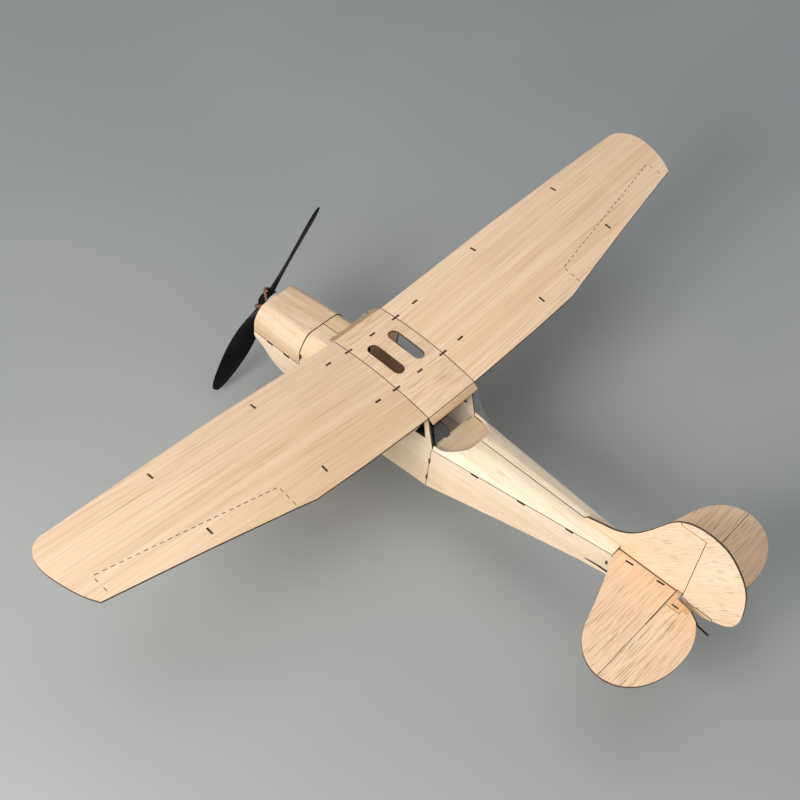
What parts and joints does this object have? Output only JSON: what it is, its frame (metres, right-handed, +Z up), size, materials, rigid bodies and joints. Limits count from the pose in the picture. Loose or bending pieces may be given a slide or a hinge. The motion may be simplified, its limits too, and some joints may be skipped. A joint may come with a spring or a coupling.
{
  "type": "balsa model aircraft",
  "caption": "High-wing balsa model aircraft with a propeller held on by a rubber band, moving tail surfaces worked by wire rods, skylights in the cabin roof and two wheels.",
  "frame": {"origin": "on the ground, at the middle of the aircraft's box seen from above", "axes": "+X to port, +Y aft so the nose points to -Y, +Z up"},
  "size_m": [0.3588, 0.2592, 0.0904],
  "materials": {
    "balsa": "bare sanded balsa with laser-burnt edges",
    "film": "clear thin plastic film",
    "black_plastic": "satin black moulded nylon",
    "white_plastic": "white moulded acetal",
    "battery_wrap": "silver-grey pouch",
    "brass": "turned brass",
    "motor_can": "drawn steel can",
    "steel_wire": "plain spring steel wire",
    "band_rubber": "brown rubber band",
    "foam_rubber": "black foam wheel"
  },
  "bodies": {
    "airframe": {"battery": "battery_wrap", "battery_hatch": "balsa", "belly_front": "balsa", "belly_tail": "balsa", "cabin_floor": "balsa", "cabin_rear_former": "balsa", "center_leading_strip": "balsa", "center_trailing_strip": "balsa", "cowl_former": "balsa", "cowl_sheet": "balsa", "elevator_servo": "black_plastic", "fin": "balsa", "fuselage_side_left": "balsa", "fuselage_side_right": "balsa", "gear_block": "balsa", "gear_wire": "steel_wire", "gearbox_frame": "black_plastic", "instrument_panel": "balsa", "motor": "motor_can", "nose_former": "balsa", "rear_shelf": "balsa", "rear_window": "film", "rudder_servo": "black_plastic", "stabilizer": "balsa", "tail_end_former": "balsa", "tail_former": "balsa", "tail_post": "balsa", "turtledeck_left": "balsa", "turtledeck_right": "balsa", "wheel_retainers": "black_plastic", "windscreen": "film", "windscreen_deck_left": "balsa", "windscreen_deck_right": "balsa", "wing_center_sheet": "balsa", "wing_joiner_front": "balsa", "wing_joiner_rear": "balsa", "wing_panel_left": "balsa", "wing_panel_right": "balsa", "wing_ribs_left": "balsa", "wing_ribs_right": "balsa"},
    "propeller_assembly": {"prop_shaft": "steel_wire", "spur_gear": "white_plastic", "prop_hub": "black_plastic", "propeller": "black_plastic", "rubber_band": "band_rubber"},
    "pinion": {"motor_pinion": "brass", "motor_shaft": "steel_wire"},
    "elevator": {"elevator_left": "balsa", "elevator_right": "balsa", "elevator_joiner": "balsa", "elevator_horn": "balsa"},
    "rudder": {"rudder": "balsa", "rudder_horn": "balsa", "tail_skid": "steel_wire"},
    "elevator_pushrod": {"elevator_pushrod": "steel_wire"},
    "rudder_pushrod": {"rudder_pushrod": "steel_wire"},
    "elevator_servo_arm": {"elevator_servo_arm": "white_plastic"},
    "rudder_servo_arm": {"rudder_servo_arm": "white_plastic"},
    "wheel_left": {"wheel_left": "foam_rubber"},
    "wheel_right": {"wheel_right": "foam_rubber"}
  },
  "joints": [
    {"name": "prop_spin", "type": "hinge", "parent": "airframe", "child": "propeller_assembly", "pos_m": [0, -0.12345, 0.0421], "axis": [0, 1, 0], "continuous": true},
    {"name": "pinion_spin", "type": "hinge", "parent": "airframe", "child": "pinion", "pos_m": [-0.0084, -0.12045, 0.0421], "axis": [0, 1, 0], "continuous": true},
    {"name": "elevator_hinge", "type": "hinge", "parent": "airframe", "child": "elevator", "pos_m": [0, 0.10315, 0.05], "axis": [1, 0, 0], "range_deg": [-20, 20]},
    {"name": "elevator_rod_slide", "type": "slide", "parent": "airframe", "child": "elevator_pushrod", "axis": [0, 0.9976, 0.0698], "range_m": [-0.003, 0.003]},
    {"name": "elevator_servo_turn", "type": "hinge", "parent": "airframe", "child": "elevator_servo_arm", "pos_m": [0.0047, -0.04145, 0.02593], "axis": [1, 0, 0], "range_deg": [-27, 27]},
    {"name": "rudder_hinge", "type": "hinge", "parent": "airframe", "child": "rudder", "pos_m": [0, 0.10595, 0.05], "axis": [0, 0, 1], "range_deg": [-25, 25]},
    {"name": "rudder_rod_slide", "type": "slide", "parent": "airframe", "child": "rudder_pushrod", "axis": [0, 0.9976, 0.0698], "range_m": [-0.0027, 0.0027]},
    {"name": "rudder_servo_turn", "type": "hinge", "parent": "airframe", "child": "rudder_servo_arm", "pos_m": [-0.0047, -0.05795, 0.02478], "axis": [1, 0, 0], "range_deg": [-26, 26]},
    {"name": "wheel_left_spin", "type": "hinge", "parent": "airframe", "child": "wheel_left", "pos_m": [0.038, -0.07545, 0.0115], "axis": [1, 0, 0], "continuous": true},
    {"name": "wheel_right_spin", "type": "hinge", "parent": "airframe", "child": "wheel_right", "pos_m": [-0.038, -0.07545, 0.0115], "axis": [1, 0, 0], "continuous": true}
  ],
  "couplings": [
    {"joint": "pinion_spin", "follows": "prop_spin", "ratio": -3.6667},
    {"joint": "elevator_rod_slide", "follows": "elevator_hinge", "m_per_rad": 0.00794},
    {"joint": "elevator_servo_turn", "follows": "elevator_hinge", "ratio": -1.3238},
    {"joint": "rudder_rod_slide", "follows": "rudder_hinge", "m_per_rad": -0.006},
    {"joint": "rudder_servo_turn", "follows": "rudder_hinge", "ratio": 1}
  ]
}
